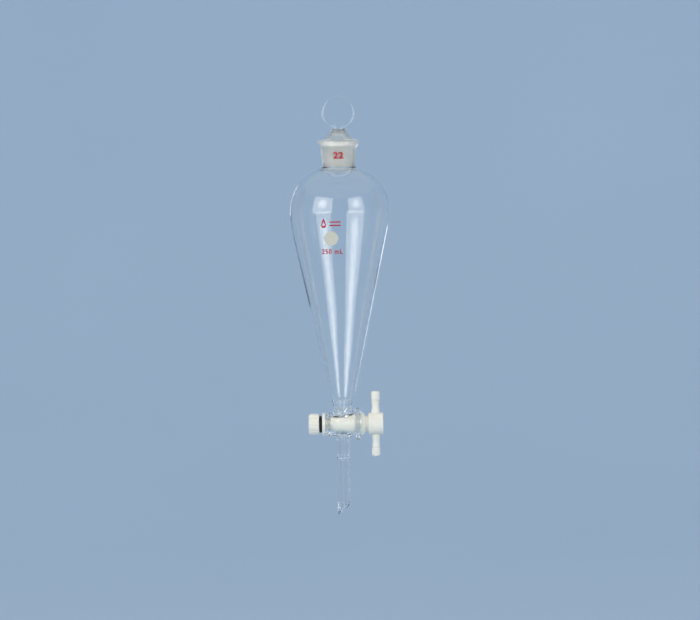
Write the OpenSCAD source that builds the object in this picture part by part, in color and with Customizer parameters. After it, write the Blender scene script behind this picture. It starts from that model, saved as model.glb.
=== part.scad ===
// Separatory funnel: pear-shaped glass body, ground glass stopper and a
// tapered plug stopcock held by a washer, an O-ring and a tension nut.
// Millimetres. +Z up, the origin on the body's axis at the level of the stem's
// tip. +X is the stopcock's axis, towards the handle.

/* [Delivery stem] */
// Outer diameter of the outlet tube
stem_d = 8.6; // [7.6:0.1:9]
// Bore of the outlet tube
stem_bore_d = 3.2; // [2:0.1:4]
// Height of the fused ring that joins the tube to the stopcock's lower arm
stem_seam_z = 41.6; // [30:0.2:46]
// Angle of the cut at the tip, from the horizontal
tip_angle = 45; // [30:1:55]
// How far the cut is turned about the stem, so that it faces forward a little
tip_turn = 28; // [-90:90]

/* [Stopcock glass] */
// Height of the stopcock's axis above the tip
cock_z = 67; // [64:0.5:72]
// Diameter of the lower arm
lower_arm_d = 9.3; // [9.1:0.1:10]
// Height of the fused ring between the upper arm and the bulb
arm_seam_z = 84; // [82:0.5:88]
// Diameter of the upper arm at its waist
upper_arm_d = 12.6; // [11.6:0.1:13.4]
// End of the barrel on the nut's side, along X
barrel_x0 = -12.6; // [-14:0.1:-11.6]
// End of the barrel on the handle's side, along X
barrel_x1 = 13.6; // [12.6:0.1:15]
// Diameter of the rolled bead on the nut's side
bead0_d = 18.6; // [17:0.2:20]
// Diameter of the rolled bead on the handle's side
bead1_d = 23.8; // [22:0.2:26]

/* [Stopcock plug] */
// Diameter of the tapered plug at its flange
plug_big_d = 15; // [14:0.1:15.4]
// Taper of the plug, 1 in this many on the diameter
plug_taper = 5; // [5:1:6]
// Radial clearance between plug and barrel
plug_fit = 0.05; // [0.02:0.01:0.1]
// Bore through the plug, for the liquid
plug_bore_d = 4; // [2:0.5:4.5]
// Diameter of the flange
flange_d = 16.6; // [16:0.2:18]
// Diameter of the handle's hub
hub_d = 16.2; // [15:0.2:18]
// Diameter of the threaded tail
thread_d = 7.6; // [7:0.1:7.8]

/* [Handle] */
// Length of the T bar
bar_l = 47.8; // [40:0.2:56]
// Diameter of the bar at its tips
bar_tip_d = 6.3; // [6:0.1:7]
// Diameter of the bar between hub and tips
bar_mid_d = 5.6; // [5:0.1:5.9]

/* [Washer, ring and nut] */
// Outer diameter of the washer
washer_d = 16.6; // [15:0.2:18]
// Thickness of the washer
washer_t = 2.3; // [2:0.1:3]
// Section of the O-ring
ring_section = 2.2; // [1.8:0.1:2.4]
// Outer diameter of the nut over its ribs
nut_d = 15.6; // [14.6:0.2:18]
// Length of the nut
nut_l = 7.6; // [7:0.2:10]
// Number of ribs on the nut
nut_ribs = 12; // [8:1:20]

/* [Pear bulb] */
// Largest outer diameter
bulb_d = 72.2; // [66:0.2:78]
// Height of the largest diameter
bulb_z = 222.4; // [214:0.2:230]
// Height of the domed shoulder above it
shoulder_h = 33.2; // [31:0.2:36]
// Roundness of the shoulder, 2 is an ellipse
shoulder_n = 2.2; // [2:0.05:2.4]
// Radius of the curve between cone and shoulder
waist_r = 73; // [60:1:90]
// Wall of the bulb
bulb_wall = 1.8; // [1.4:0.1:2.2]

/* [Neck and stopper] */
// Large diameter of the ground joint
joint_big_d = 22; // [22:0.1:22.4]
// Length of the ground joint
joint_l = 20; // [19:0.5:21]
// Outer diameter of the neck under the rim
neck_d = 26.2; // [25.6:0.1:27]
// Outer diameter of the rim
rim_d = 30.2; // [29:0.2:33]
// Radial clearance of the stopper in the joint
stopper_fit = 0.05; // [0.02:0.01:0.1]
// Wall of the hollow stopper
stopper_wall = 1.6; // [1.2:0.1:2]
// Depth of the rounded bottom below the joint
dome_h = 7.2; // [5:0.2:8]
// Diameter of the flat round head
head_d = 24; // [20:0.5:28]
// Thickness of the head
head_t = 5.2; // [4.4:0.1:6.4]

/* [Marks] */
// Diameter of the ivory spot
spot_d = 10.5; // [8:0.5:12]
// Thickness of the fired enamel
enamel_t = 0.15; // [0.1:0.01:0.25]

/* [Hidden] */
$fn = 96;

// ---- pear outline -------------------------------------------------------
// Foot of the cone, at the fused ring of the upper arm
foot_r = 8.1;
// Centre of the waist curve, as [r, z]
wc = [bulb_d / 2 - waist_r, bulb_z];
// The straight cone runs from the foot to the tangent point of the curve
fd = [foot_r - wc[0], arm_seam_z - wc[1]];
fl = norm(fd);
ta = atan2(fd[1], fd[0]) + acos(waist_r / fl);
tan_p = [wc[0] + waist_r * cos(ta), wc[1] + waist_r * sin(ta)];
slope = (tan_p[0] - foot_r) / (tan_p[1] - arm_seam_z);
pinch = 0.75;

function cone_r(z) = foot_r + slope * (z - arm_seam_z);
function tail_r(z) = cone_r(z) - pinch * exp(-(z - arm_seam_z) / 3);
function waist_at(z, w) = wc[0] + sqrt(pow(waist_r - w, 2) - pow(z - bulb_z, 2));
// Outer radius of the glass between foot and widest level
function skin_r(z) = z < tan_p[1] ? tail_r(z) : waist_at(z, 0);
// Shoulder, a superellipse, at parameter t in degrees
function shoulder(t, w) = [(bulb_d / 2 - w) * pow(cos(t), 2 / shoulder_n),
                           bulb_z + (shoulder_h - w) * pow(sin(t), 2 / shoulder_n)];
function shoulder_t_of_r(r, w) = acos(pow(r / (bulb_d / 2 - w), shoulder_n / 2));
function shoulder_t_of_z(z, w) = asin(pow((z - bulb_z) / (shoulder_h - w), shoulder_n / 2));
function bez(a, b, c, n) = [for (i = [0:n]) let (u = i / n)
    (1 - u) * (1 - u) * a + 2 * u * (1 - u) * b + u * u * c];

// ---- levels -------------------------------------------------------------
neck_seam_z = bulb_z + shoulder_h - 2.4;
ground_z0 = bulb_z + shoulder_h - 1.1;
ground_z1 = ground_z0 + joint_l;
neck_top_z = ground_z1 + 0.5;
joint_small_d = joint_big_d - joint_l / 10;
seam_t = shoulder_t_of_z(neck_seam_z, 0);
seam_out_r = shoulder(seam_t, 0)[0];
in_cone_shift = bulb_wall / cos(atan(slope));
lumen_top_r = 5.2;

tail_z = [0, 1, 2.2, 3.6, 5.4, 8, 12];
outer_pts = concat(
    [for (h = tail_z) [tail_r(arm_seam_z + h), arm_seam_z + h]],
    [for (i = [0:7]) let (z = tan_p[1] + (bulb_z - tan_p[1]) * i / 8)
        [waist_at(z, 0), z]],
    [for (i = [0:19]) shoulder(seam_t * i / 20, 0)],
    [[seam_out_r, neck_seam_z]]);
in_corner_r = joint_small_d / 2 + 2;
in_t = shoulder_t_of_r(in_corner_r, bulb_wall);
inner_pts = concat(
    bez([joint_small_d / 2, neck_seam_z],
        [joint_small_d / 2, shoulder(in_t, bulb_wall)[1]],
        shoulder(in_t, bulb_wall), 5),
    [for (i = [19:-1:0]) shoulder(in_t * i / 20, bulb_wall)],
    [for (i = [7:-1:0]) let (z = tan_p[1] + (bulb_z - tan_p[1]) * i / 8)
        [waist_at(z, bulb_wall), z]],
    [[cone_r(arm_seam_z + 14) - in_cone_shift, arm_seam_z + 14],
     [cone_r(arm_seam_z + 9) - in_cone_shift - 0.1, arm_seam_z + 9],
     [cone_r(arm_seam_z + 5) - in_cone_shift - 0.3, arm_seam_z + 5],
     [cone_r(arm_seam_z + 2) - in_cone_shift - 0.7, arm_seam_z + 2],
     [lumen_top_r, arm_seam_z]]);

module pear_bulb() {
    color([0.80, 0.90, 0.95, 0.35])
    rotate_extrude() polygon(concat(outer_pts, inner_pts));
}

// ---- neck ---------------------------------------------------------------
neck_low_r = neck_d / 2 - 1.05;
fillet_z = neck_seam_z + 3.4;
fillet_t = shoulder_t_of_r(seam_out_r - 0.5, 0);

module neck_socket() {
    color([0.86, 0.89, 0.90, 0.7])
    rotate_extrude() polygon(concat(
        [[seam_out_r, neck_seam_z]],
        bez(shoulder(fillet_t, 0),
            [neck_low_r, bulb_z + shoulder_h - 0.9],
            [neck_low_r, fillet_z], 6),
        [[neck_d / 2, neck_top_z - 6.2],
         [neck_d / 2 + 0.45, neck_top_z - 5.5],
         [rim_d / 2 - 0.9, neck_top_z - 4.1],
         [rim_d / 2 - 0.25, neck_top_z - 3.2],
         [rim_d / 2, neck_top_z - 2.2],
         [rim_d / 2, neck_top_z - 1.5],
         [rim_d / 2 - 0.25, neck_top_z - 0.7],
         [rim_d / 2 - 0.75, neck_top_z - 0.15],
         [rim_d / 2 - 1.4, neck_top_z],
         [joint_big_d / 2 + 0.9, neck_top_z],
         [joint_big_d / 2 + 0.35, neck_top_z - 0.15],
         [joint_big_d / 2, ground_z1],
         [joint_small_d / 2, ground_z0],
         [joint_small_d / 2, neck_seam_z]]));
}

// ---- stopcock glass -----------------------------------------------------
// Turns a profile of [x, r] points about the stopcock's axis
module along_x(pts) {
    translate([0, 0, cock_z]) rotate([0, 90, 0])
    rotate_extrude() polygon([for (p = pts) [p[1], p[0]]]);
}
function plug_r(x) = plug_big_d / 2 - (plug_x1 - x) / (2 * plug_taper);
plug_x1 = barrel_x1 + 0.1;
b0 = bead0_d / 2;
b1 = bead1_d / 2;
waist0 = 8;
waist1 = 9.1;

module barrel_skin() {
    along_x([[barrel_x0, 0], [barrel_x0, b0 - 0.9], [barrel_x0 + 0.3, b0 - 0.3],
             [barrel_x0 + 1, b0], [barrel_x0 + 2.6, b0],
             [barrel_x0 + 3.4, b0 - 0.3], [barrel_x0 + 4.1, b0 - 0.9],
             [barrel_x0 + 5, waist0], [barrel_x1 - 5.6, waist1],
             [barrel_x1 - 4.6, waist1 + 0.5], [barrel_x1 - 3.8, b1 - 1.2],
             [barrel_x1 - 3.1, b1 - 0.35], [barrel_x1 - 2.3, b1],
             [barrel_x1 - 1.3, b1], [barrel_x1 - 0.5, b1 - 0.5],
             [barrel_x1, b1 - 1.6], [barrel_x1, 0]]);
}

module stopcock_barrel() {
    color([0.80, 0.90, 0.95, 0.35])
    difference() {
        union() {
            barrel_skin();
            // upper arm, up to the fused ring
            rotate_extrude() polygon([
                [0, cock_z], [7.7, cock_z], [7.7, cock_z + 7.8],
                [7.2, cock_z + 8.9], [6.6, cock_z + 10.2],
                [upper_arm_d / 2, cock_z + 11.6],
                [upper_arm_d / 2 + 0.2, arm_seam_z - 3.4],
                [tail_r(arm_seam_z) - 0.25, arm_seam_z - 1.6],
                [tail_r(arm_seam_z) + 0.15, arm_seam_z - 0.8],
                [tail_r(arm_seam_z), arm_seam_z], [0, arm_seam_z]]);
            // lower arm, down to the fused ring
            rotate_extrude() polygon([
                [0, cock_z], [7, cock_z], [7, cock_z - 7.8],
                [6.4, cock_z - 9.2], [5.4, cock_z - 10.8],
                [lower_arm_d / 2, cock_z - 12.2],
                [lower_arm_d / 2 - 0.1, stem_seam_z + 2],
                [lower_arm_d / 2 - 0.3, stem_seam_z + 1.1],
                [stem_d / 2 + 0.35, stem_seam_z + 0.6],
                [stem_d / 2 + 0.35, stem_seam_z], [0, stem_seam_z]]);
        }
        // tapered bore for the plug
        along_x([[barrel_x0 - 1, 0], [barrel_x0 - 1, plug_r(barrel_x0 - 1) + plug_fit],
                 [barrel_x1 + 1, plug_r(barrel_x1 + 1) + plug_fit],
                 [barrel_x1 + 1, 0]]);
        // lumen of the upper arm, a small funnel
        rotate_extrude() polygon([
            [0, cock_z], [2, cock_z], [2, cock_z + 8.4], [3.2, cock_z + 10.6],
            [4.5, cock_z + 13.6], [lumen_top_r, arm_seam_z],
            [lumen_top_r + 0.1, arm_seam_z + 0.5], [0, arm_seam_z + 0.5]]);
        // lumen of the lower arm
        translate([0, 0, stem_seam_z - 1]) cylinder(d = 4, h = cock_z - stem_seam_z);
    }
}

// ---- delivery stem ------------------------------------------------------
module delivery_stem() {
    color([0.80, 0.90, 0.95, 0.35])
    difference() {
        rotate_extrude() polygon([
            [0, 0], [stem_d / 2, 0], [stem_d / 2, stem_seam_z - 0.7],
            [stem_d / 2 + 0.35, stem_seam_z - 0.4],
            [stem_d / 2 + 0.35, stem_seam_z], [0, stem_seam_z]]);
        translate([0, 0, -1]) cylinder(d = stem_bore_d, h = stem_seam_z - 2);
        translate([0, 0, stem_seam_z - 3.01]) cylinder(d1 = stem_bore_d, d2 = 4, h = 3.02);
        // slanted cut, lowest on the nut's side
        rotate([0, 0, -tip_turn]) translate([-stem_d / 2, 0, 0]) rotate([0, -tip_angle, 0])
            translate([-20, -20, -60]) cube([80, 40, 60]);
    }
}

// ---- fired enamel marks -------------------------------------------------
enamel_gap = 0.01;
// A thin skin that follows the bulb between two heights
module bulb_skin(z0, z1) {
    rotate_extrude() polygon(concat(
        [for (i = [0:6]) let (z = z0 + (z1 - z0) * i / 6) [skin_r(z) + enamel_gap + enamel_t, z]],
        [for (i = [6:-1:0]) let (z = z0 + (z1 - z0) * i / 6) [skin_r(z) + enamel_gap, z]]));
}
module neck_skin(z0, z1) {
    rotate_extrude() polygon([
        [neck_r(z0) + enamel_gap + enamel_t, z0], [neck_r(z1) + enamel_gap + enamel_t, z1],
        [neck_r(z1) + enamel_gap, z1], [neck_r(z0) + enamel_gap, z0]]);
}
function neck_r(z) = neck_low_r + (neck_d / 2 - neck_low_r) * (z - fillet_z) / (neck_top_z - 6.2 - fillet_z);

// One straight stroke of a sign, between two points
module stroke(a, b, w) {
    d = b - a;
    translate(a) rotate(atan2(d[1], d[0])) translate([-w / 2, -w / 2])
        square([norm(d) + w, w]);
}
// A sign is a list of strokes on a 4 by 6 grid
SIGNS = [
    ["2", [[[0, 6], [4, 6]], [[4, 6], [4, 3.2]], [[4, 3.2], [0, 2.6]], [[0, 2.6], [0, 0]], [[0, 0], [4, 0]]]],
    ["5", [[[4, 6], [0, 6]], [[0, 6], [0, 3.3]], [[0, 3.3], [4, 3.3]], [[4, 3.3], [4, 0]], [[4, 0], [0, 0]]]],
    ["0", [[[0, 0], [4, 0]], [[4, 0], [4, 6]], [[4, 6], [0, 6]], [[0, 6], [0, 0]]]],
    ["m", [[[0, 0], [0, 4]], [[0, 4], [5, 4]], [[2.5, 4], [2.5, 0]], [[5, 4], [5, 0]]]],
    ["L", [[[0, 6], [0, 0]], [[0, 0], [3.4, 0]]]]];
module sign(s, h, w) {
    k = (h - w) / 6;
    translate([w / 2, w / 2])
    for (g = SIGNS) if (g[0] == s) for (l = g[1]) stroke(l[0] * k, l[1] * k, w);
}
// Stands a flat drawing up in front of the glass, as seen from -Y
module front(y0, y1) {
    translate([0, y1, 0]) rotate([90, 0, 0]) linear_extrude(y1 - y0) children();
}

module marking_spot() {
    color([0.80, 0.79, 0.70])
    intersection() {
        bulb_skin(198.1, 211.5);
        translate([-6.9, 0, 204.9]) rotate([90, 0, 0]) cylinder(d = spot_d, h = 60);
    }
}
module capacity_mark() {
    color([0.75, 0.08, 0.16])
    intersection() {
        bulb_skin(192.6, 198.4);
        front(-60, -5) {
            translate([-13.9, 193.6]) sign("2", 3.7, 0.65);
            translate([-10.9, 193.6]) sign("5", 3.7, 0.65);
            translate([-7.9, 193.6]) sign("0", 3.7, 0.65);
            translate([-4.3, 193.6]) sign("m", 3.7, 0.55);
            translate([-0.9, 193.6]) sign("L", 3.7, 0.65);
        }
    }
}
module blank_mark() {
    color([0.75, 0.08, 0.16])
    intersection() {
        bulb_skin(212, 219.6);
        front(-60, -5) {
            // a drop beside two plain rules
            difference() {
                union() {
                    translate([-11.6, 215]) circle(r = 2);
                    polygon([[-13.25, 216.1], [-9.95, 216.1], [-11.6, 218.8]]);
                }
                translate([-11.6, 215]) circle(r = 1.1);
            }
            translate([-8, 216.3]) square([8.4, 0.8]);
            translate([-8, 214]) square([8.4, 0.8]);
        }
    }
}
module size_mark() {
    color([0.75, 0.08, 0.16])
    intersection() {
        neck_skin(261, 268);
        front(-60, -2) {
            translate([-4.7, 262.1]) sign("2", 4.8, 1);
            translate([-0.6, 262.1]) sign("2", 4.8, 1);
        }
    }
}

// ---- stopper ------------------------------------------------------------
sg_r1 = joint_big_d / 2 - stopper_fit;
sg_r0 = joint_small_d / 2 - stopper_fit;
collar_z = neck_top_z + 4.6;
head_z = collar_z + head_d / 2 + 3.3;
head_round = 2.2;

module stopper() {
    color([0.84, 0.90, 0.94, 0.5])
    union() {
        rotate([0, 0, 20])
        difference() {
            rotate_extrude() polygon(concat(
                [for (i = [0:8]) let (a = 90 * i / 8)
                    [sg_r0 * sin(a) * 0.985, ground_z0 - dome_h * cos(a)]],
                [[sg_r0, ground_z0], [sg_r1, ground_z1], [sg_r1 - 0.35, neck_top_z + 0.2],
                 [5.9, collar_z], [5.7, collar_z + 0.7], [5.1, collar_z + 1.2],
                 [4.8, collar_z + 2.4], [4.5, collar_z + 3.9], [3.9, collar_z + 5.9],
                 [0, collar_z + 5.9]]));
            // sealed hollow
            rotate_extrude() polygon(concat(
                [for (i = [0:8]) let (a = 90 * i / 8)
                    [(sg_r0 - stopper_wall) * sin(a),
                     ground_z0 + 0.4 - (dome_h + 0.4 - stopper_wall) * cos(a)]],
                [[sg_r1 - stopper_wall - 0.15, ground_z1 - 3],
                 [3.6, collar_z - 2.8], [2.2, collar_z - 2], [0, collar_z - 1.6]]));
        }
        // flat round head, rounded at its edge
        translate([0, 0, head_z]) rotate([90, 0, 0]) rotate([0, 0, 35])
        rotate_extrude()
            polygon(concat(
                [[0, -head_t / 2]],
                [for (i = [0:7]) let (a = -90 + 180 * i / 7)
                    [head_d / 2 - head_round + head_round * cos(a),
                     (a < 0 ? -1 : 1) * (head_t / 2 - head_round) + head_round * sin(a)]],
                [[0, head_t / 2]]));
    }
}

// ---- stopcock plug ------------------------------------------------------
washer_x1 = barrel_x0 - 0.1;
washer_x0 = washer_x1 - washer_t;
plug_x0 = barrel_x0 + 3.6;
thread_r = thread_d / 2;
tail_x = washer_x0 - ring_section - 0.1 - nut_l + 1.5;
neck_x0 = plug_x1 + 2.4;
hub_x0 = plug_x1 + 5;
hub_x1 = plug_x1 + 16;
bar_x = (hub_x0 + hub_x1) / 2;

module stopcock_plug() {
    color([0.93, 0.92, 0.88])
    difference() {
        along_x([[tail_x, 0], [tail_x, thread_r - 0.5], [tail_x + 0.5, thread_r],
                 [plug_x0, thread_r], [plug_x0, plug_r(plug_x0) - 0.3],
                 [plug_x0 + 0.3, plug_r(plug_x0 + 0.3)],
                 [plug_x1, plug_r(plug_x1)],
                 [plug_x1, flange_d / 2 - 0.2], [plug_x1 + 0.2, flange_d / 2],
                 [plug_x1 + 1.1, flange_d / 2], [neck_x0 - 0.3, flange_d / 2 - 1.1],
                 [neck_x0, 5.85], [hub_x0, 5.85],
                 [hub_x0 + 0.1, hub_d / 2 - 0.9], [hub_x0 + 1, hub_d / 2 - 0.1],
                 [hub_x0 + 1.5, hub_d / 2], [hub_x1 - 0.5, hub_d / 2],
                 [hub_x1, hub_d / 2 - 0.5], [hub_x1, 0]]);
        // cross bore, in line with the arms when the bar is upright
        translate([0, 0, cock_z - 12]) cylinder(d = plug_bore_d, h = 24);
        // hole for the bar
        translate([bar_x, 0, cock_z - 12]) cylinder(d = bar_mid_d + 0.6, h = 24);
    }
}

// ---- handle bar ---------------------------------------------------------
module handle_bar() {
    tip_l = 6.8;
    h = bar_l / 2;
    rt = bar_tip_d / 2;
    rm = bar_mid_d / 2;
    half = [[rm + 0.3, 0], [rm + 0.3, hub_d / 2 + 1.2], [rm + 0.05, hub_d / 2 + 3],
            [rm, h - tip_l - 2.4], [rt - 0.12, h - tip_l - 0.15],
            [rt - 0.25, h - tip_l], [rt, h - tip_l + 0.25], [rt, h - 1.3],
            [rt - 0.35, h - 0.55], [rt - 1, h - 0.12], [rt - 1.6, h]];
    color([0.93, 0.92, 0.88])
    translate([bar_x, 0, cock_z])
    rotate_extrude() polygon(concat(
        [[0, -h]],
        [for (i = [len(half) - 1:-1:1]) [half[i][0], -half[i][1]]],
        [for (i = [1:len(half) - 1]) half[i]],
        [[0, h]]));
}

// ---- washer, ring and nut ----------------------------------------------

module ptfe_washer() {
    w = washer_d / 2;
    color([0.93, 0.92, 0.88])
    along_x([[washer_x0, thread_r + 0.1], [washer_x0, w - 0.7],
             [washer_x0 + 0.5, w], [washer_x1 - 0.5, w],
             [washer_x1, w - 0.5], [washer_x1, thread_r + 0.1]]);
}
module o_ring() {
    color([0.05, 0.05, 0.05])
    translate([washer_x0 - ring_section / 2 - 0.02, 0, cock_z]) rotate([0, 90, 0])
    rotate_extrude() translate([thread_r + 0.2 + ring_section / 2, 0])
        circle(d = ring_section);
}
nut_x1 = washer_x0 - ring_section - 0.1;
nut_x0 = nut_x1 - nut_l;

module tension_nut() {
    n = nut_d / 2;
    color([0.93, 0.92, 0.88])
    difference() {
        along_x([[nut_x0, 0], [nut_x0, n - 1.8], [nut_x0 + 0.35, n - 0.9],
                 [nut_x0 + 1.2, n - 0.2], [nut_x0 + 2, n], [nut_x1 - 0.7, n],
                 [nut_x1, n - 0.6], [nut_x1, 0]]);
        along_x([[nut_x0 + 1.2, 0], [nut_x0 + 1.2, thread_r + 0.07],
                 [nut_x1 + 1, thread_r + 0.07], [nut_x1 + 1, 0]]);
        // flutes between the ribs
        for (i = [0:nut_ribs - 1])
            translate([nut_x0 - 1, 0, cock_z]) rotate([i * 360 / nut_ribs, 0, 0])
            translate([0, 0, n + 0.4]) rotate([0, 90, 0]) cylinder(r = 0.8, h = nut_l + 2);
    }
}

neck_socket();
pear_bulb();
stopcock_barrel();
delivery_stem();
marking_spot();
capacity_mark();
blank_mark();
size_mark();
stopper();
stopcock_plug();
handle_bar();
ptfe_washer();
o_ring();
tension_nut();
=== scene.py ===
import math

import bpy
import numpy as np
from mathutils import Matrix, Vector


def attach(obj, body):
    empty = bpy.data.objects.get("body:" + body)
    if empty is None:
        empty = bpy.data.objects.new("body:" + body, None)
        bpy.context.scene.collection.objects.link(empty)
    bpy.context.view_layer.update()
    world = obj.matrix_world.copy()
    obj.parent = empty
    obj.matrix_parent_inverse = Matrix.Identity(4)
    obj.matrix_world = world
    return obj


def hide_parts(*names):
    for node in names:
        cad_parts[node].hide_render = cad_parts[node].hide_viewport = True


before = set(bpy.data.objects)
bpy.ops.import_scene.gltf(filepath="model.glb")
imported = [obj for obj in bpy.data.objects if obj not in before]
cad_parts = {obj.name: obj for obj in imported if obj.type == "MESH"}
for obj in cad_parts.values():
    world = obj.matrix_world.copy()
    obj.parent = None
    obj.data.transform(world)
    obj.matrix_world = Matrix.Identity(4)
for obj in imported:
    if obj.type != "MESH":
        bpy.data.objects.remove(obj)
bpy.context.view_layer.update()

MM = 0.001
scene = bpy.context.scene

# ---------------------------------------------------------------- camera ---
# Slightly above, far away, the picture's middle a little right of the axis.
cam_data = bpy.data.cameras.new("camera")
cam = bpy.data.objects.new("camera", cam_data)
scene.collection.objects.link(cam)
scene.camera = cam
cam_data.sensor_fit = "HORIZONTAL"
cam_data.sensor_width = 36.0
DIST = 1.9
ELEV = math.radians(3.6)
TARGET = Vector((6.6 * MM, 0.0, 150.6 * MM))
cam_data.lens = 36.0 / (0.5115 / DIST)
back = Vector((0.0, -math.cos(ELEV), math.sin(ELEV)))
cam.location = TARGET + back * DIST
cam.rotation_mode = "QUATERNION"
look = (-back).to_track_quat("-Z", "Y")
roll = Matrix.Rotation(math.radians(-0.85), 3, "Z").to_quaternion()
cam.rotation_quaternion = look @ roll
cam_data.clip_start = 0.05
cam_data.clip_end = 30.0

# ------------------------------------------------------------- dimensions --
# The same driving sizes as the CAD model, in millimetres.
COCK_Z = 67.0
ARM_SEAM = 84.0
STEM_SEAM = 41.6
BULB_R, BULB_Z, SHOULDER_H, SHOULDER_N, WAIST_R, WALL = 36.1, 222.4, 33.2, 2.2, 73.0, 1.8
FOOT_R = 8.1
wc_r = BULB_R - WAIST_R
_fl = math.hypot(FOOT_R - wc_r, ARM_SEAM - BULB_Z)
_ta = math.atan2(ARM_SEAM - BULB_Z, FOOT_R - wc_r) + math.acos(WAIST_R / _fl)
TAN_R, TAN_Z = wc_r + WAIST_R * math.cos(_ta), BULB_Z + WAIST_R * math.sin(_ta)
SLOPE = (TAN_R - FOOT_R) / (TAN_Z - ARM_SEAM)
SHIFT = WALL / math.cos(math.atan(SLOPE))
NECK_SEAM = BULB_Z + SHOULDER_H - 2.4
GROUND0 = BULB_Z + SHOULDER_H - 1.1
GROUND1 = GROUND0 + 20.0
NECK_TOP = GROUND1 + 0.5
NECK_LOW_R = 13.1 - 1.05
FILLET_Z = NECK_SEAM + 3.4


def cone_r(z):
    return FOOT_R + SLOPE * (z - ARM_SEAM)


def tail_r(z):
    return cone_r(z) - 0.75 * np.exp(-(z - ARM_SEAM) / 3.0)


def skin_r(z):
    """Outer radius of the bulb below its shoulder."""
    z = np.asarray(z, float)
    arc = wc_r + np.sqrt(np.maximum(WAIST_R**2 - (z - BULB_Z) ** 2, 0.0))
    top = (BULB_R) * np.power(
        np.clip(1 - np.power(np.clip((z - BULB_Z) / SHOULDER_H, 0, 1), SHOULDER_N), 0, 1),
        1 / SHOULDER_N,
    )
    return np.where(z < TAN_Z, tail_r(z), np.where(z < BULB_Z, arc, top))


def neck_r(z):
    return NECK_LOW_R + (13.1 - NECK_LOW_R) * (z - FILLET_Z) / (NECK_TOP - 6.2 - FILLET_Z)


def bulb_in_r(z):
    return cone_r(z) - SHIFT - 1.06 * np.exp(-(z - ARM_SEAM) / 3.2)


def plug_r(x):
    return 7.5 - (13.7 - x) / 10.0


def spline(knots):
    """A smooth function through (position, value) knots, without overshoot."""
    xs = np.array([k[0] for k in knots], float)
    ys = np.array([k[1] for k in knots], float)
    h = np.diff(xs)
    d = np.diff(ys) / h
    m = np.zeros(len(xs))
    m[0], m[-1] = d[0], d[-1]
    for i in range(1, len(xs) - 1):
        if d[i - 1] * d[i] > 0:
            w1, w2 = 2 * h[i] + h[i - 1], h[i] + 2 * h[i - 1]
            m[i] = (w1 + w2) / (w1 / d[i - 1] + w2 / d[i])

    def f(x):
        x = np.clip(np.asarray(x, float), xs[0], xs[-1])
        i = np.clip(np.searchsorted(xs, x, side="right") - 1, 0, len(xs) - 2)
        t = (x - xs[i]) / h[i]
        return (
            ys[i] * (2 * t**3 - 3 * t**2 + 1)
            + h[i] * m[i] * (t**3 - 2 * t**2 + t)
            + ys[i + 1] * (-2 * t**3 + 3 * t**2)
            + h[i] * m[i + 1] * (t**3 - t**2)
        )

    return f


# --------------------------------------------------------- mesh utilities --
class Build:
    """Collects vertices (mm), faces and a material index for each face."""

    def __init__(self):
        self.v, self.f, self.m, self.n = [], [], [], 0

    def verts(self, pts):
        pts = np.asarray(pts, float).reshape(-1, 3)
        start = self.n
        self.v.append(pts)
        self.n += len(pts)
        return np.arange(start, start + len(pts))

    def face(self, idx, mat=0):
        self.f.append([int(i) for i in idx])
        self.m.append(mat)

    def faces(self, quads, mat=0):
        for q in quads:
            self.face(q, mat)

    def band(self, a, b, mat=0):
        """Quads between two closed rings of the same length."""
        n = len(a)
        for i in range(n):
            j = (i + 1) % n
            self.face((a[i], a[j], b[j], b[i]), mat)

    def zip(self, a, b, mat=0):
        """Triangles between two closed rings of any length, sorted by angle about Z."""
        pts = np.concatenate(self.v)
        ta = np.arctan2(pts[a, 1], pts[a, 0])
        tb = np.arctan2(pts[b, 1], pts[b, 0])
        oa, ob = np.argsort(ta), np.argsort(tb)
        a, ta, b, tb = np.asarray(a)[oa], ta[oa], np.asarray(b)[ob], tb[ob]
        i = j = 0
        na, nb = len(a), len(b)
        while i < na or j < nb:
            ni = ta[i + 1] if i + 1 < na else ta[0] + 2 * math.pi
            nj = tb[j + 1] if j + 1 < nb else tb[0] + 2 * math.pi
            if j >= nb or (i < na and ni <= nj):
                self.face((a[i % na], a[(i + 1) % na], b[j % nb]), mat)
                i += 1
            else:
                self.face((a[i % na], b[(j + 1) % nb], b[j % nb]), mat)
                j += 1

    def cap(self, ring, centre, mat=0):
        c = self.verts([centre])[0]
        n = len(ring)
        for i in range(n):
            self.face((ring[i], ring[(i + 1) % n], c), mat)

    def object(self, name, materials, smooth=None, recalc=True):
        v = np.concatenate(self.v) * MM
        me = bpy.data.meshes.new(name)
        me.from_pydata([tuple(p) for p in v], [], self.f)
        for mat in materials:
            me.materials.append(mat)
        me.polygons.foreach_set("material_index", self.m)
        me.validate()
        if not recalc:
            tri = np.array([f[:3] for f in self.f] + [[f[0], f[2], f[3]] for f in self.f if len(f) == 4])
            a, c, d = v[tri[:, 0]], v[tri[:, 1]], v[tri[:, 2]]
            if np.einsum("ij,ij->i", a, np.cross(c, d)).sum() < 0:
                me.flip_normals()
        else:
            import bmesh

            bm = bmesh.new()
            bm.from_mesh(me)
            bmesh.ops.remove_doubles(bm, verts=bm.verts, dist=1e-7)
            bmesh.ops.recalc_face_normals(bm, faces=bm.faces)
            bm.to_mesh(me)
            bm.free()
        me.polygons.foreach_set("use_smooth", [True] * len(me.polygons))
        me.update()
        ob = bpy.data.objects.new(name, me)
        scene.collection.objects.link(ob)
        if smooth is not None:
            me.set_sharp_from_angle(angle=math.radians(smooth))
        return ob


def ring(r, z, n, phase=0.0):
    t = phase + np.arange(n) * 2 * math.pi / n
    return np.stack([r * np.cos(t), r * np.sin(t), np.full(n, z)], 1)


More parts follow.
